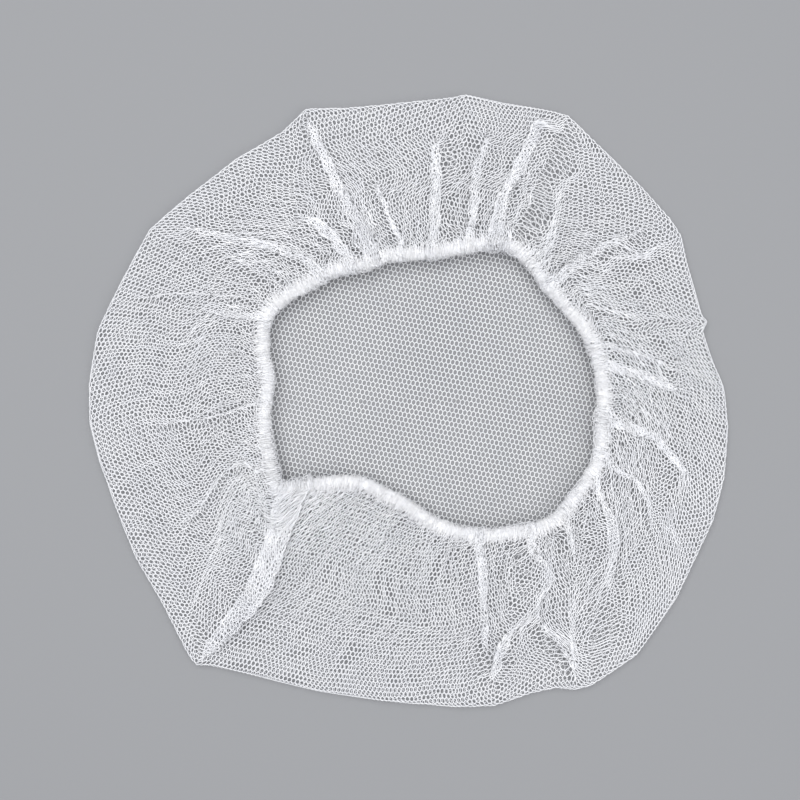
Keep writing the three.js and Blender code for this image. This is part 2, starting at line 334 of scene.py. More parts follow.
def cornered(rows, radius, share):
    """An outline that keeps some of the straight runs between its corners."""
    angle, distance = reach_table(rows, radius)
    corners = corner_points(rows, radius)
    steps = np.linspace(0, 1, CURVE_STEPS, endpoint=False)[:, None, None]
    straight = corners + (np.roll(corners, -1, 0) - corners) * steps
    flat = np.interp(angle, *sorted_reach(straight.transpose(1, 0, 2).reshape(-1, 2)), period=2 * math.pi)
    return angle, distance * (1 - share) + flat * share


OUTLINE_TABLE = cornered(OUTLINE, LYING_RADIUS * OUTLINE_GROWTH, OUTLINE_STRAIGHTNESS)
MOUTH_TABLE = reach_table(MOUTH, MOUTH_RADIUS)


def reach(table, angle):
    return np.interp(angle % (2 * math.pi), *table, period=2 * math.pi)


def directions(column):
    """The directions of the folds' ends, carried on so that turns before and after can be read."""
    first = FOLD_TABLE[:, column]
    return np.radians(np.concatenate([first - 360, first, first + 360]))


TURN_KNOTS = np.arange(-FOLD_COUNT, 2 * FOLD_COUNT)
EDGE_DIRECTIONS = directions(1)
MOUTH_DIRECTIONS = directions(0)


def mouth_points(turn):
    angle = np.interp(turn, TURN_KNOTS, MOUTH_DIRECTIONS)
    return MOUTH_MIDDLE + polar(angle, reach(MOUTH_TABLE, angle))


def smooth(share):
    share = np.clip(share, 0, 1)
    return share * share * (3 - 2 * share)


def rising_from(start, inward):
    """0 as far as the start, then smoothly up to 1 at the mouth."""
    return smooth((inward - start) / (1 - start))


def bell(place):
    """From 1 in the middle down to 0 a length of 1 away on either side."""
    return 0.5 * (1 + np.cos(np.pi * np.clip(np.abs(place), 0, 1)))


def ring(values, place):
    """Values set evenly round a ring, read at a place from 0 to 1 with smooth steps between them."""
    at = (place % 1) * len(values)
    low = np.floor(at).astype(int)
    step = smooth(at - low)
    return values[low % len(values)] * (1 - step) + values[(low + 1) % len(values)] * step


def ring_noise(count, seed, low=-1.0, high=1.0):
    return np.random.default_rng(seed).uniform(low, high, count)


# Turns round the net: whole numbers are the main folds' crests
TURNS = np.linspace(0, FOLD_COUNT, FOLD_COUNT * TURN_STEPS + 1)
EDGE_ANGLE = np.interp(TURNS, TURN_KNOTS, EDGE_DIRECTIONS)
MOUTH_LINE = mouth_points(TURNS)
MOUTH_LENGTH = places_along(MOUTH_LINE)[-1]
MOUTH_PACE = np.gradient(places_along(MOUTH_LINE), TURNS)
MOUTH_PLACE = places_along(MOUTH_LINE) / MOUTH_LENGTH

# The rounded edge, and the tuck, where its underside meets the crown
EDGE_LUMPS = ring(ring_noise(61, 3), TURNS / FOLD_COUNT)
BEND = (EDGE_HEIGHT - NET_WALL) / 2 * (1 - EDGE_UNEVENNESS + EDGE_UNEVENNESS * EDGE_LUMPS)
OUTWARD = polar(EDGE_ANGLE, 1.0)
SIDEWAYS = np.stack([-OUTWARD[:, 1], OUTWARD[:, 0]], -1)
TUCK_REACH = reach(OUTLINE_TABLE, EDGE_ANGLE) - BEND - NET_WALL / 2
TUCK = OUTWARD * TUCK_REACH[:, None]
EDGE_TOP = np.column_stack([TUCK, CROWN_LEVEL + 2 * BEND])


def line_at(turn, line):
    """The points of a line, kept for every turn, at other turns."""
    return np.stack([np.interp(turn, TURNS, column) for column in line.T], -1)


def turns_at(place):
    """The turns at places from 0 to 1 round the mouth."""
    return np.interp(place % 1, MOUTH_PLACE, TURNS)


# Folds, gathers and pleats

def main_folds(inward, laid_over=True):
    """Lift, lean, overlap and upper layer's lift of the main folds at every turn."""
    lift, lean, overlap, upper = (np.zeros_like(TURNS) for _ in range(4))
    for neighbour in (-1, 0, 1):
        index = np.round(TURNS).astype(int) + neighbour
        rise, run, width, tip, laid = FOLD_TABLE[index % FOLD_COUNT, 2:].T
        if not laid_over:
            laid = np.zeros_like(laid)
        beside = TURNS - index
        swing = np.sin(FOLD_SWING * np.clip((inward - 1 + run) / run, 0, 1))
        broad = bell(beside / width) * swing
        crest = CREST_WIDTH * width / (1 + CREST_SHARPENING * np.abs(laid))
        over = 1 - smooth((np.sign(laid) * beside + crest) / (2 * crest))
        lift += FOLD_HEIGHT * rise * broad / (1 + CREST_FLATTENING * np.abs(laid))
        lean += FOLD_HEIGHT * rise * broad * tip
        overlap += laid * MM * bell(beside / crest) * swing
        upper += LAYER_LIFT * np.abs(laid) * over * broad
    return lift, lean, overlap, upper


def gathers(kind, inward):
    """The waves of one kind of gathers and their slant at every turn, both from -1 to 1."""
    strength = ring_noise(kind.count, kind.seed, *GATHER_STRENGTHS)
    length = ring_noise(kind.count, kind.seed + 1, kind.shortest, kind.longest)
    wander = ring_noise(kind.count // 2, kind.seed + 2, -GATHER_WANDER, GATHER_WANDER)
    stray = ring_noise(kind.count // 5, kind.seed + 3, -GATHER_STRAY, GATHER_STRAY)
    at = MOUTH_PLACE * kind.count + ring(wander, MOUTH_PLACE) + ring(stray, MOUTH_PLACE) * (1 - inward)
    run = ring(length, MOUTH_PLACE)
    swell = smooth((inward - 1 + run) / run) * ring(strength, MOUTH_PLACE)
    return np.cos(2 * np.pi * at) * swell, np.sin(4 * np.pi * at) * swell


def standing(kind, wave, close):
    """How high gathers stand. Drawn close, they lose height and no longer dip into the cloth."""
    return kind.height * (wave * (1 - (1 - kind.left) * close) + kind.left * close)


def crowding(points):
    """How crowded the cloth is at points of the lying net: 0 where it lies evenly."""
    crowd = np.zeros(len(points))
    for strength, first, last, laid, line in CROWDS:
        line = np.array(line, float) * MM
        steps, before = np.diff(line, axis=0), places_along(line)
        before /= before[-1]
        most = np.zeros(len(points))
        for k, (start, step) in enumerate(zip(line, steps)):
            along = np.clip((points - start) @ step / np.linalg.norm(step) ** 2, 0, 1)
            away = np.linalg.norm(points - start - along[:, None] * step, axis=1)
            place = before[k] + along * (before[k + 1] - before[k])
            width = (first + (last - first) * place) * MM
            most = np.maximum(most, np.exp(-CROWD_FALL * (away / width) ** 2))
        crowd += strength * most * (PLEATED_SHARE if laid else 1)
    return crowd


def level_crowding(points):
    """The same for all points of one level, read between some of them."""
    known = np.arange(0, len(points), CROWD_STEP)
    return np.interp(np.arange(len(points)), known, crowding(points[known, :2]))


Pleat = namedtuple("Pleat", "side inward turns widths")


def pleat_paths():
    """Where the pleats of the crowded folds run."""
    inward = np.linspace(0, 1, PATH_LEVELS)
    turns, tuck, mouth = (table[:-1:PATH_STEP] for table in (TURNS, TUCK, MOUTH_LINE))
    grid = tuck + (mouth - tuck) * inward[:, None, None]
    paths = []
    for _, first, last, laid, line in CROWDS:
        if not laid:
            continue
        line = np.array(line, float) * MM
        place = places_along(line)
        widths = (first + (last - first) * place / place[-1]) * MM * abs(laid)
        nearest = [np.linalg.norm(grid - point, axis=2).argmin() for point in line]
        level, turn = np.unravel_index(nearest, grid.shape[:2])
        order = np.argsort(level)
        side = int(np.sign(line[:, 0].mean() * laid))
        along = np.unwrap(turns[turn[order]], period=FOLD_COUNT)
        paths.append(Pleat(side, inward[level[order]], along, widths[order]))
    return paths


PLEATS = pleat_paths()


def pleats(inward, pace):
    """Overlap and upper layer's lift of the pleats at every turn. Pace is the length of a turn there."""
    overlap, upper = np.zeros_like(TURNS), np.zeros_like(TURNS)
    place = np.concatenate([[0], np.cumsum((pace[1:] + pace[:-1]) / 2 * np.diff(TURNS))])
    whole = place[-1]
    for number, pleat in enumerate(PLEATS):
        strength = smooth((inward - pleat.inward[0] + PLEAT_EARLY) / PLEAT_FADE)
        if pleat.inward[-1] < RUNS_TO_MOUTH:
            strength *= 1 - smooth((inward - pleat.inward[-1]) / PLEAT_FADE)
        if strength <= 0:
            continue
        waver = sum(share * math.sin(angle * inward + step * number) for share, angle, step in PLEAT_WAVES)
        width = np.interp(inward, pleat.inward, pleat.widths)
        push = PLEAT_OVERLAP * width * strength * (1 + PUSH_WAVER * waver)
        crest = np.interp(np.interp(inward, pleat.inward, pleat.turns) % FOLD_COUNT, TURNS, place)
        crest += PLEAT_WAVER * waver - pleat.side * PLEAT_SETBACK * push
        rise, back = PLEAT_RISE * push, max(PLEAT_TURN * push, LEAST_TURN)
        beside = pleat.side * ((place - crest + whole / 2) % whole - whole / 2)
        overlap += pleat.side * push * bell(np.where(beside < 0, beside / rise, beside / back))
        above = 1 - smooth((beside + LAYER_FALL * back) / ((1 + LAYER_FALL) * back))
        above *= bell(np.minimum(beside, 0) / (LAYER_RISE * rise))
        upper += (PLEAT_LIFT * strength + PLEAT_LIFT_SHARE * push) * above
    return overlap, upper


def folded(inward, pace):
    """Lift and lean of the main folds, and overlap and upper layer's lift of all that is laid over."""
    lift, lean, overlap, upper = main_folds(inward)
    pleat_overlap, pleat_upper = pleats(inward, pace)
    return lift, lean, overlap + pleat_overlap, upper + pleat_upper


# The band's line and the hem round it

def band_normal():
    """The band's outward direction at every turn."""
    ahead = unit(mouth_points(TURNS + 0.1) - mouth_points(TURNS - 0.1))
    return np.stack([ahead[:, 1], -ahead[:, 0]], -1)


BAND_LIFTS = BAND_LIFT * main_folds(1.0, laid_over=False)[0]
BAND_LINE = np.column_stack([MOUTH_LINE, MOUTH_HEIGHT + BAND_LIFTS])
BAND_NORMAL = band_normal()


def round_band(turn, angle, distance):
    """Points round the band's line: angle 0 is its outer side and a quarter turn its top."""
    points = line_at(turn % FOLD_COUNT, BAND_LINE)
    normal = unit(line_at(turn % FOLD_COUNT, BAND_NORMAL))
    points[..., :2] += normal * (np.cos(angle) * distance)[..., None]
    points[..., 2] += np.sin(angle) * distance
    return points


def slid(length):
    """The turns that lie this far along the band's line from every turn."""
    return turns_at(MOUTH_PLACE + length / MOUTH_LENGTH)


def hem_size(place):
    """The hem's uneven size at places from 0 to 1 round the mouth."""
    return HEM_RADIUS * (1 + ring(HEM_LUMPS, place))


# The lying net, level by level from the tuck, and how the cloth is carried round on it

def edge_level(share):
    """The rounded edge, from its underside, 0, to its top, 1."""
    angle = np.pi * share
    level = TUCK + OUTWARD * (BEND * np.sin(angle))[:, None]
    return np.column_stack([level, CROWN_LEVEL + BEND * (1 - np.cos(angle))])


def margin_level(inward):
    """The margin, from the edge's top, 0, to the hem, 1."""
    pace = np.linalg.norm(np.gradient(TUCK + (MOUTH_LINE - TUCK) * inward, TURNS, axis=0), axis=1)
    lift, lean, overlap, upper = folded(inward, pace)
    carry = rising_from(OVERLAPS_CARRIED, inward)
    settle = 1 - rising_from(CRESTS_SETTLE, inward)
    close = rising_from(GATHERS_CLOSE, inward)
    start = round_band(slid(overlap * carry), np.full_like(TURNS, HEM_START), hem_size(MOUTH_PLACE))
    points = EDGE_TOP + (start - EDGE_TOP) * inward
    crowd = np.clip(level_crowding(points), LEAST_LIFTED, MOST_LIFTED)
    points[:, 2] += CROWD_LIFT * crowd * settle
    points[:, 2] += LIMP_LIFT * lift * (1 - rising_from(FOLDS_SETTLE, inward))
    points[:, 2] -= SAG * np.sin(np.pi * inward) * (1 - np.clip(lift / FOLD_HEIGHT, 0, 1))
    mid, slant = gathers(MID_GATHERS, inward)
    fine, _ = gathers(FINE_GATHERS, inward)
    aside = lean * settle + overlap * (1 - carry) + slant * GATHER_SLANT
    points[:, :2] += SIDEWAYS * aside[:, None]
    height = standing(MID_GATHERS, mid, close) + standing(FINE_GATHERS, fine, close) + upper
    level = BAND_NORMAL * (math.cos(HEM_START) * close)
    off = np.column_stack([level, np.full_like(TURNS, 1 - close * (1 - math.sin(HEM_START)))])
    return points + off * height[:, None]


def hem_level(share):
    """The hem, from where the margin meets it, 0, to the net's cut edge inside it, 1."""
    _, _, overlap, upper = folded(1.0, MOUTH_PACE)
    height = sum(standing(kind, gathers(kind, 1.0)[0], 1) for kind in (MID_GATHERS, FINE_GATHERS))
    distance = hem_size(MOUTH_PLACE) + upper + height * (1 - HEM_CALM * smooth(share))
    return round_band(slid(overlap), np.full_like(TURNS, HEM_START + (HEM_END - HEM_START) * share), distance)


SPANS = ((EDGE_LEVELS, edge_level), (MARGIN_LEVELS, margin_level), (HEM_LEVELS, hem_level))
LEVEL_ENDS = np.cumsum([0] + [steps for steps, _ in SPANS])
SURFACE = np.array([edge_level(0.0)] + [
    place_level(step / steps) for steps, place_level in SPANS for step in range(1, steps + 1)
])


def span_lengths():
    """How long the cloth is over the edge, over the margin and round the hem, at every turn."""
    start = round_band(TURNS, np.full_like(TURNS, HEM_START), np.full_like(TURNS, HEM_RADIUS))
    margin = np.linalg.norm(start - EDGE_TOP, axis=1)
    return np.array([np.pi * BEND, margin, np.full_like(TURNS, HEM_RADIUS * (HEM_END - HEM_START))])


SPAN_LENGTHS = span_lengths()
SPAN_ENDS = np.concatenate([np.zeros((1, len(TURNS))), np.cumsum(SPAN_LENGTHS, axis=0)])


def cloth_length(level):
    """How far along the cloth a level lies from the tuck, at every turn."""
    span = max(int(np.searchsorted(LEVEL_ENDS, level)) - 1, 0)
    share = (level - LEVEL_ENDS[span]) / (LEVEL_ENDS[span + 1] - LEVEL_ENDS[span])
    return SPAN_ENDS[span] + SPAN_LENGTHS[span] * share


def carried(level):
    """At each turn of the cloth, the turn of the lying net that it comes to lie at."""
    cut = places_along(polar(EDGE_ANGLE, TUCK_REACH + cloth_length(level)))
    lying = SURFACE[level]
    crowd = level_crowding(lying) * np.clip((level - EDGE_LEVELS) / CROWD_ONSET, 0, 1)
    crowd = MOST_CROWD * np.tanh(crowd / MOST_CROWD)
    density = np.exp(CROWD_GROWTH * np.where(crowd < 0, OPENED * crowd, crowd))
    pace = np.linalg.norm(np.diff(lying, axis=0), axis=1) * (density[1:] + density[:-1]) / 2
    cloth = np.concatenate([[0], np.cumsum(pace)])
    target = cut * (cloth[-1] / cut[-1])
    target += (cloth - target)[:-1].mean()
    lengths = np.concatenate([cloth[:-1] - cloth[-1], cloth, cloth[1:] + cloth[-1]])
    turns = np.concatenate([TURNS[:-1] - FOLD_COUNT, TURNS, TURNS[1:] + FOLD_COUNT])
    return np.interp(target, lengths, turns)


def eased(drift):
    """The drift of the cloth round the net, with its slow swell held back, even from level to level
    and unchanged from the margin's end on."""
    last = LEVEL_ENDS[2] - 2
    drift[last:] = drift[last]
    waves = np.fft.rfft(drift[:, :-1], axis=1)
    swell = np.exp(-0.5 * (2 * math.pi * SWELL_REACH * np.arange(waves.shape[1]) / FOLD_COUNT) ** 2)
    swell[0] = 0
    inward = (np.arange(len(drift)) - EDGE_LEVELS) / MARGIN_LEVELS
    held = SWELL_HELD - SWELL_FREED * smooth((inward - FREED_FROM) / FREED_OVER)
    local = np.fft.irfft(waves * (1 - held[:, None] * swell), FOLD_COUNT * TURN_STEPS, axis=1)
    drift = np.column_stack([local, local[:, :1]])
    around = np.arange(-EVENED_LEVELS, EVENED_LEVELS + 1)
    spread = np.exp(-0.5 * (around / EVENED_WIDTH) ** 2)
    rows = np.clip(np.arange(len(drift))[:, None] + around, 0, len(drift) - 1)
    return (drift[rows] * (spread / spread.sum())[None, :, None]).sum(1)


CARRIED = TURNS + eased(np.array([carried(level) for level in range(len(SURFACE))]) - TURNS)


def crown_swell(cloth):
    """The small unevenness of the crown where it lies on the floor, never below 0."""
    x, y = cloth.T / CROWN_WAVE
    wave = np.sin(1.3 * x + 0.7 * y) * np.sin(0.9 * y - 0.5 * x + 1) + 0.5 * np.sin(2.3 * x - 1.7 * y + 2)
    return CROWN_SWELL * (wave + 1.5)


def bent_waves(cloth, heading, length, breadth, bending, offset, phase):
    """Waves over the cloth, of a length in millimetres, that bend to and fro across their heading."""
    x, y = cloth.T / MM
    along = (x * math.cos(heading) + y * math.sin(heading)) * 2 * math.pi / length
    bend = np.sin((x * math.sin(heading) - y * math.cos(heading)) / (breadth * length) + offset)
    return np.sin(along + bending * bend + phase)


def slack(cloth):
    """The small irregular give of the netting where it isn't held flat. No two waves run alike."""
    return SLACK * np.stack([
        sum(bent_waves(cloth, first + 1.7 * k, 5.2 + 2.3 * k, 2.1, 2, first * k, first) for k in range(4))
        for first in (1.3, 2.9, 4.1)
    ], -1)


def fine_slack(cloth):
    """The uneven pull from cell to cell."""
    return FINE_SLACK * np.stack([
        sum(bent_waves(cloth, 0.7 + 1.1 * axis + 2.1 * k, 3.1 + 0.9 * k + 0.35 * axis, 1.3, 1.5, 1.9 * k, axis)
            for k in range(3))
        for axis in range(3)
    ], -1)


def cloth_places(cloth):
    """The turns of points of the flat cloth, how far past the tuck they lie, and where spans end."""
    angle, distance = np.arctan2(cloth[:, 1], cloth[:, 0]) % (2 * math.pi), np.hypot(*cloth.T)
    turn = np.interp(angle, EDGE_DIRECTIONS, TURN_KNOTS) % FOLD_COUNT
    ends = np.array([np.interp(turn, TURNS, row) for row in SPAN_ENDS])
    return turn, distance - np.interp(turn, TURNS, TUCK_REACH), ends


def on_level(level, turn):
    """Where turns of the cloth come to lie on one level."""
    return line_at(np.interp(turn, TURNS, CARRIED[level]) % FOLD_COUNT, SURFACE[level])


def lain(cloth):
    """Where points of the flat cloth come to lie."""
    turn, along, ends = cloth_places(cloth)
    level = sum(steps * np.clip((along - ends[span]) / (ends[span + 1] - ends[span]), 0, 1)
                for span, (steps, _) in enumerate(SPANS))
    low = np.clip(np.floor(level).astype(int), 0, len(SURFACE) - 2)
    step = (level - low)[:, None]
    placed = np.zeros((len(cloth), 3))
    for k in range(len(SURFACE) - 1):
        mine = low == k
        placed[mine] = on_level(k, turn[mine]) * (1 - step[mine]) + on_level(k + 1, turn[mine]) * step[mine]
    inside = along <= 0
    placed[inside, :2] = cloth[inside]
    placed[inside, 2] = CROWN_LEVEL
    placed[:, 2] += crown_swell(cloth) * smooth(-along / CROWN_ONSET) * inside
    past_edge = along - ends[1]
    placed += slack(cloth) * smooth(past_edge / SLACK_ONSET)[:, None]
    growth = smooth(past_edge / (ends[2] - ends[1])) * (1 - HEM_HOLD * smooth((along - ends[2]) / HEM_ONSET))
    give = (FINE_LEAST + (1 - FINE_LEAST) * growth) * smooth(past_edge / FINE_ONSET)
    return placed + fine_slack(cloth) * give[:, None]


# Helpers for meshes and objects

def mesh_from(name, shape):
    """The finished mesh of a bmesh, which is freed."""
    mesh = bpy.data.meshes.new(name)
    shape.to_mesh(mesh)
    shape.free()
    return mesh


def add_object(name, data):
    obj = bpy.data.objects.new(name, data)
    bpy.context.scene.collection.objects.link(obj)
    return obj


# The netting

def doubled(sheet, offset):
    geometry = list(sheet.verts) + list(sheet.edges) + list(sheet.faces)
    copy = bmesh.ops.duplicate(sheet, geom=geometry)["geom"]
    bmesh.ops.translate(sheet, verts=[g for g in copy if isinstance(g, bmesh.types.BMVert)], vec=offset)


def flat_netting():
    """A flat sheet of six-sided cells, made by doubling one cell, centred and turned as the rows run."""
    sheet = bmesh.new()
    bmesh.ops.create_circle(sheet, cap_ends=True, segments=6, radius=1.0)
    width, rise = math.sqrt(3), 1.5  # from cell to cell and from row to row, with sides of 1
    for k in range(SHEET_DOUBLINGS):
        doubled(sheet, (width * 2 ** k, 0, 0))
    bmesh.ops.remove_doubles(sheet, verts=sheet.verts, dist=MERGED_WITHIN)
    for k in range(SHEET_DOUBLINGS):
        doubled(sheet, (width / 2 if k == 0 else 0, rise * 2 ** k, 0))
    bmesh.ops.remove_doubles(sheet, verts=sheet.verts, dist=MERGED_WITHIN)
    cells = 2 ** SHEET_DOUBLINGS
    bmesh.ops.translate(sheet, verts=sheet.verts, vec=(-width * cells / 2, -rise * cells / 2, 0))
    bmesh.ops.scale(sheet, verts=sheet.verts, vec=(CELL_WIDTH / width, ROW_HEIGHT / rise, 1))
    bmesh.ops.rotate(sheet, verts=sheet.verts, cent=(0, 0, 0), matrix=Matrix.Rotation(ROW_TURN, 3, "Z"))
    return sheet


def keep_cells(sheet, kept):
    """Deletes all the cells but these."""
    sheet.faces.ensure_lookup_table()
    gone = [sheet.faces[k] for k in np.flatnonzero(~kept)]
    bmesh.ops.delete(sheet, geom=gone, context="FACES")


def spin_threads(cells):
    """Turns the sides of the cells into threads."""
    bmesh.ops.wireframe(cells, faces=cells.faces[:], thickness=THREAD, offset=0.0, use_replace=True,
                        use_boundary=True, use_even_offset=False, use_relative_offset=False)


def vertex_array(mesh):
    points = np.empty(len(mesh.vertices) * 3, np.float32)
    mesh.vertices.foreach_get("co", points)
    return points.reshape(-1, 3).astype(float)


def flat_map(mesh, flat):
    """Maps a mesh by its flat copy, turned to lie along X, and gives the flat copy's size."""
    middle = flat.mean(0)
    heading = -math.atan2(middle[1], middle[0])
    ahead, aside = math.cos(heading), math.sin(heading)
    turned = flat[:, :2] @ np.array([[ahead, aside], [-aside, ahead]])
    low, size = turned.min(0), np.ptp(turned, axis=0)
    corners = np.empty(len(mesh.loops), np.int32)
    mesh.loops.foreach_get("vertex_index", corners)
    bake_map = mesh.uv_layers.new(name="OFBake")
    bake_map.uv.foreach_set("vector", ((turned[corners] - low) / size.max()).ravel().astype(np.float32))
    return size


def net_piece(name, sheet, kept):
    """One piece of the netting: the kept cells laid in place and given their threads."""
    piece = sheet.copy()
    keep_cells(piece, kept)
    cut = piece.copy()
    spin_threads(cut)
    cut_mesh = mesh_from(name + "_cut", cut)
    flat = vertex_array(cut_mesh)
    bpy.data.meshes.remove(cut_mesh)

    placed = lain(np.array([vertex.co[:2] for vertex in piece.verts]))
    placed[:, :2] += SHIFT
    for vertex, point in zip(piece.verts, placed):
        vertex.co = point
    piece.normal_update()
    spin_threads(piece)
    mesh = mesh_from(name, piece)
    mesh.shade_smooth()
    size = flat_map(mesh, flat)
    obj = add_object(name, mesh)
    mesh.materials.append(NETTING)
    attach(obj, "root")
    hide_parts("net")
    return obj


def cell_middles(sheet):
    return np.array([face.calc_center_median()[:2] for face in sheet.faces])


def lay_net():
    """Cuts the round net from a flat sheet and lays it piece by piece."""
    sheet = flat_netting()
    _, along, ends = cloth_places(cell_middles(sheet))
    keep_cells(sheet, along < ends[3])
    middles = cell_middles(sheet)
    _, along, ends = cloth_places(middles)
    crown = along < ends[1] / 2
    angle = np.arctan2(middles[:, 1], middles[:, 0]) % (2 * math.pi)
    sector = np.floor(angle / (2 * math.pi / CROWN_PIECES)).astype(int)
    for part in range(CROWN_PIECES):
        net_piece(f"net_crown_{part + 1}", sheet, crown & (sector == part))
    margin = np.flatnonzero(~crown)[np.argsort(angle[~crown])]
    rank = np.full(len(angle), -1)
    rank[margin] = np.arange(len(margin)) * MARGIN_PIECES // len(margin)
    for part in range(MARGIN_PIECES):
        net_piece(f"net_margin_{part + 1}", sheet, rank == part)
    sheet.free()


# Materials

def add_node(nodes, kind, **values):
    """A node with its settings and its unlinked inputs filled in."""
    node = nodes.new(kind)
    for name, value in values.items():
        if name in node.inputs:
            node.inputs[name].default_value = value
        else:
            setattr(node, name, value)
    return node


def colour_socket(sockets, name):
    """The socket of this name that carries a colour, on a node that has several of the name."""
    return next(socket for socket in sockets if socket.name == name and socket.type == "RGBA")


def spun_thread():
    """What all the threads share: soft tone drifts, fine filaments and slubs along them."""
    group = bpy.data.node_groups.new("spun_thread", "ShaderNodeTree")
    for name, way, kind in (
        ("Light tone", "INPUT", "Color"), ("Deep tone", "INPUT", "Color"),
        ("Filaments per metre", "INPUT", "Float"), ("Smoothest", "INPUT", "Float"),
        ("Roughest", "INPUT", "Float"), ("Tone", "OUTPUT", "Color"),
        ("Roughness", "OUTPUT", "Float"), ("Height", "OUTPUT", "Float"),
    ):
        group.interface.new_socket(name, in_out=way, socket_type="NodeSocket" + kind)
    nodes, link = group.nodes, group.links.new
    values, results = nodes.new("NodeGroupInput"), nodes.new("NodeGroupOutput")
    place = nodes.new("ShaderNodeTexCoord").outputs["Object"]
    drift = add_node(nodes, "ShaderNodeTexNoise", Scale=90.0, Detail=3.0, Roughness=0.55)
    slubs = add_node(nodes, "ShaderNodeTexNoise", Scale=900.0, Detail=2.0, Roughness=0.6)
    filaments = add_node(nodes, "ShaderNodeTexNoise", Detail=4.0, Roughness=0.7, Distortion=0.6)
    for texture in (drift, slubs, filaments):
        link(place, texture.inputs["Vector"])
    link(values.outputs["Filaments per metre"], filaments.inputs["Scale"])
    both = add_node(nodes, "ShaderNodeMath", operation="ADD")
    link(drift.outputs["Fac"], both.inputs[0])
    link(slubs.outputs["Fac"], both.inputs[1])
    shade = add_node(nodes, "ShaderNodeMapRange", **{"From Min": 0.75, "From Max": 1.2})
    link(both.outputs["Value"], shade.inputs["Value"])
    tone = add_node(nodes, "ShaderNodeMix", data_type="RGBA")
    link(shade.outputs["Result"], tone.inputs["Factor"])
    link(values.outputs["Deep tone"], colour_socket(tone.inputs, "A"))
    link(values.outputs["Light tone"], colour_socket(tone.inputs, "B"))
    link(colour_socket(tone.outputs, "Result"), results.inputs["Tone"])
    gloss = add_node(nodes, "ShaderNodeMapRange", **{"From Min": 0.3, "From Max": 0.7})
    link(filaments.outputs["Fac"], gloss.inputs["Value"])
    link(values.outputs["Smoothest"], gloss.inputs["To Min"])
    link(values.outputs["Roughest"], gloss.inputs["To Max"])
    link(gloss.outputs["Result"], results.inputs["Roughness"])
    link(filaments.outputs["Fac"], results.inputs["Height"])
    return group


SPUN_THREAD = spun_thread()


def thread_material(name, light, deep, filaments, smoothest, roughest, bump):
    """A material made of spun thread, with the size of its bump in metres."""
    material = bpy.data.materials.new(name)
    material.use_nodes = True
    nodes, link = material.node_tree.nodes, material.node_tree.links.new
    shader = nodes["Principled BSDF"]
    shader.inputs["IOR"].default_value = 1.5
    shader.inputs["Sheen Weight"].default_value = 0.12
    spun = add_node(nodes, "ShaderNodeGroup", node_tree=SPUN_THREAD, Smoothest=smoothest, Roughest=roughest,
                    **{"Light tone": (*light, 1), "Deep tone": (*deep, 1), "Filaments per metre": filaments})
    relief = add_node(nodes, "ShaderNodeBump", Strength=0.6, Distance=bump)
    link(spun.outputs["Tone"], shader.inputs["Base Color"])
    link(spun.outputs["Roughness"], shader.inputs["Roughness"])
    link(spun.outputs["Height"], relief.inputs["Height"])
    link(relief.outputs["Normal"], shader.inputs["Normal"])
    return material


def ribbed(material, ribs, height):
    """Adds the ribs of a covered elastic, counted along the piece's own map."""
    nodes, link = material.node_tree.nodes, material.node_tree.links.new
    relief = next(node for node in nodes if node.type == "BUMP")
    spun = relief.inputs["Height"].links[0].from_socket
    along = add_node(nodes, "ShaderNodeUVMap", uv_map="wound")
    parts = nodes.new("ShaderNodeSeparateXYZ")
    link(along.outputs["UV"], parts.inputs["Vector"])
    turns = add_node(nodes, "ShaderNodeMath", operation="MULTIPLY")
    turns.inputs[1].default_value = ribs * 2 * math.pi
    link(parts.outputs["Y"], turns.inputs[0])
    wave = add_node(nodes, "ShaderNodeMath", operation="SINE")
    link(turns.outputs["Value"], wave.inputs[0])
    both = add_node(nodes, "ShaderNodeMath", operation="MULTIPLY_ADD")
    both.inputs[1].default_value = height
    link(wave.outputs["Value"], both.inputs[0])
    link(spun, both.inputs[2])
    link(both.outputs["Value"], relief.inputs["Height"])
    return material


NETTING = thread_material(
    "white_netting", light=(0.935, 0.94, 0.955), deep=(0.85, 0.86, 0.89),
    filaments=4200.0, smoothest=0.4, roughest=0.62, bump=0.05 * MM)
HEM_THREAD = thread_material(
    "white_hem_thread", light=(0.96, 0.96, 0.965), deep=(0.9, 0.905, 0.925),
    filaments=6000.0, smoothest=0.5, roughest=0.75, bump=0.04 * MM)
ELASTIC = ribbed(thread_material(
    "white_elastic", light=(0.95, 0.95, 0.955), deep=(0.88, 0.88, 0.9),
    filaments=3000.0, smoothest=0.55, roughest=0.8, bump=0.08 * MM), ribs=420, height=0.5)


def shift_to_middle():
    """What brings the middle of the lying outline to the origin, as in the part."""
    outer = OUTWARD * (TUCK_REACH + BEND)[:, None]
    return -(outer.min(0) + outer.max(0)) / 2


SHIFT = shift_to_middle()
lay_net()


# The elastic inside the hem and the thread wound round it

def closed_tube(name, rings, material):
    """A closed tube round a closed line, from rings of points: steps, sides, 3."""
    steps, sides = rings.shape[:2]
    tube = bmesh.new()
    bmesh.ops.create_grid(tube, x_segments=sides, y_segments=steps, size=1)
    wound = tube.loops.layers.uv.new("wound")
    for face in tube.faces:
        for loop in face.loops:
            loop[wound].uv = (loop.vert.co.xy + Vector((1, 1))) / 2
    points = rings[np.arange(steps + 1) % steps][:, np.arange(sides + 1) % sides].reshape(-1, 3)
    points[:, :2] += SHIFT
    for vertex, point in zip(tube.verts, points):
        vertex.co = point
    bmesh.ops.remove_doubles(tube, verts=tube.verts, dist=1e-7)
    bmesh.ops.recalc_face_normals(tube, faces=tube.faces)
    mesh = mesh_from(name, tube)
    mesh.shade_smooth()
    obj = add_object(name, mesh)
    mesh.materials.append(material)
    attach(obj, "root")
    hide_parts("elastic_band")
    return obj


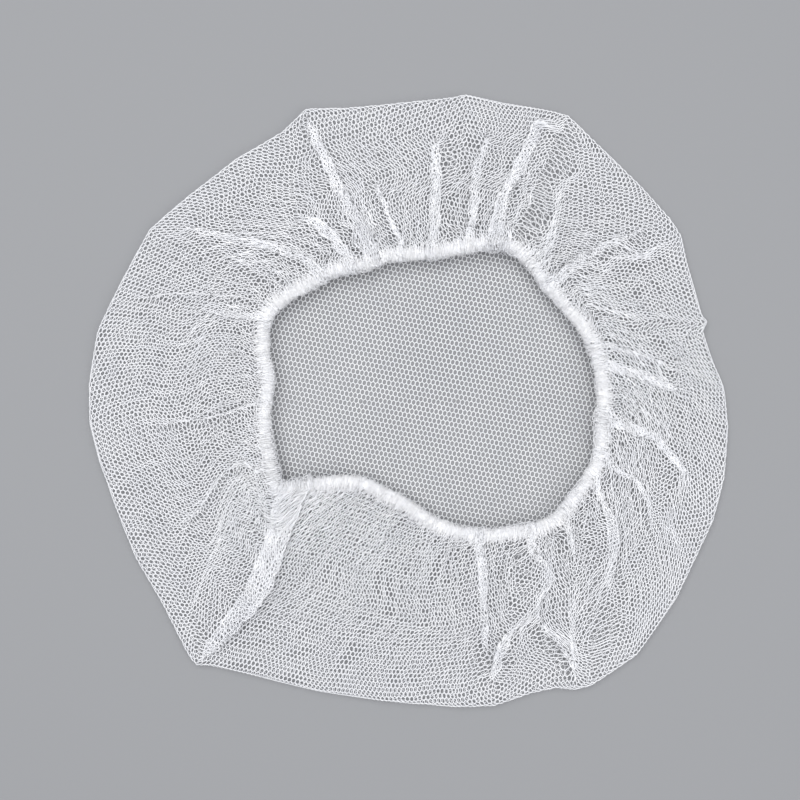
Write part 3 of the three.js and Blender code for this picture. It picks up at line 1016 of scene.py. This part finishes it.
def elastic_core(steps, sides, past_hem):
    """The elastic, as uneven as the hem round it and a little thicker."""
    share = np.arange(steps) / steps
    turn, size = (values[:, None].repeat(sides, 1) for values in (turns_at(share), hem_size(share)))
    angle = np.arange(sides) / sides * 2 * math.pi + np.zeros((steps, 1))
    return closed_tube("elastic_core", round_band(turn, angle, past_hem + size), ELASTIC)


WIND_SLANT = 0.8  # how far a wind runs ahead or behind, as an angle
OUTER_BULGE = 0.3  # how much further off the winds stand on the hem's outer side


def wound_thread(name, winds, steps_each, sides, radius, nearest, farthest, stray, seed):
    """A thread wound round the hem, at distances and slants that change from wind to wind. With
    winds below 0 it runs the other way round."""
    steps = abs(winds) * steps_each
    share = np.arange(steps) / steps
    wander = ring(ring_noise(abs(winds) * 2, seed + 1), share) * stray
    turn = turns_at(share + wander / MOUTH_LENGTH)
    angle = 2 * math.pi * winds * share + WIND_SLANT * ring(ring_noise(abs(winds) // 2, seed + 2), share)
    distance = hem_size(share) + ring(ring_noise(abs(winds) * 3, seed, nearest, farthest), share)
    distance *= 1 + OUTER_BULGE * np.clip(np.cos(angle), 0, 1)
    line = round_band(turn, angle, distance)
    ahead = unit(np.roll(line, -1, 0) - np.roll(line, 1, 0))
    away = round_band(turn, angle, distance + 1 * MM) - line
    away = unit(away - ahead * (away * ahead).sum(1)[:, None])
    beside = np.cross(ahead, away)
    round_thread = ((np.arange(sides) + 0.5) / sides * 2 * math.pi)[None, :, None]
    section = np.cos(round_thread) * away[:, None] + np.sin(round_thread) * beside[:, None]
    return closed_tube(name, line[:, None] + radius * section, HEM_THREAD)


elastic_core(steps=450, sides=8, past_hem=0.55 * MM)
wound_thread("overlock_thread", winds=420, steps_each=8, sides=4, radius=0.3 * MM,
             nearest=0.5 * MM, farthest=1.3 * MM, stray=1.6 * MM, seed=51)
wound_thread("hem_fluff", winds=-900, steps_each=6, sides=3, radius=0.15 * MM,
             nearest=0.6 * MM, farthest=2.3 * MM, stray=3.4 * MM, seed=61)


# Studio

def floor(half_width, colour, roughness):
    sheet = bmesh.new()
    bmesh.ops.create_grid(sheet, x_segments=1, y_segments=1, size=half_width)
    mesh = mesh_from("floor", sheet)
    obj = add_object("floor", mesh)
    material = bpy.data.materials.new("pale_floor")
    material.use_nodes = True
    shader = material.node_tree.nodes["Principled BSDF"]
    shader.inputs["Base Color"].default_value = (*colour, 1)
    shader.inputs["Roughness"].default_value = roughness
    mesh.materials.append(material)


def soft_light(name, place, size, power):
    """A round lamp that looks at the origin."""
    light = bpy.data.lights.new(name, "AREA")
    light.shape, light.size, light.energy = "DISK", size, power
    obj = add_object(name, light)
    obj.location = place
    obj.rotation_euler = (-Vector(place)).to_track_quat("-Z", "Y").to_euler()


def sky(colour, strength):
    world = bpy.data.worlds.new("studio")
    world.use_nodes = True
    background = world.node_tree.nodes["Background"]
    background.inputs["Color"].default_value = (*colour, 1)
    background.inputs["Strength"].default_value = strength
    bpy.context.scene.world = world


def camera_above(middle, height, lens):
    """A camera that looks straight down, as in the photo."""
    camera = bpy.data.cameras.new("camera")
    camera.lens, camera.sensor_width = lens, 36
    view = add_object("camera", camera)
    view.location = (*(np.array(middle) + SHIFT), height)
    bpy.context.scene.camera = view


floor(half_width=3.0, colour=(0.30, 0.305, 0.315), roughness=0.8)
soft_light("key", place=(-0.2, 0.27, 1.5), size=1.6, power=20)
soft_light("fill", place=(0.8, -0.5, 1.3), size=1.2, power=5)
sky(colour=(0.94, 0.95, 1.0), strength=0.5)
camera_above(middle=(-4.75 * MM, 0.75 * MM), height=0.675, lens=60)
bpy.context.scene.view_settings.view_transform = "Standard"
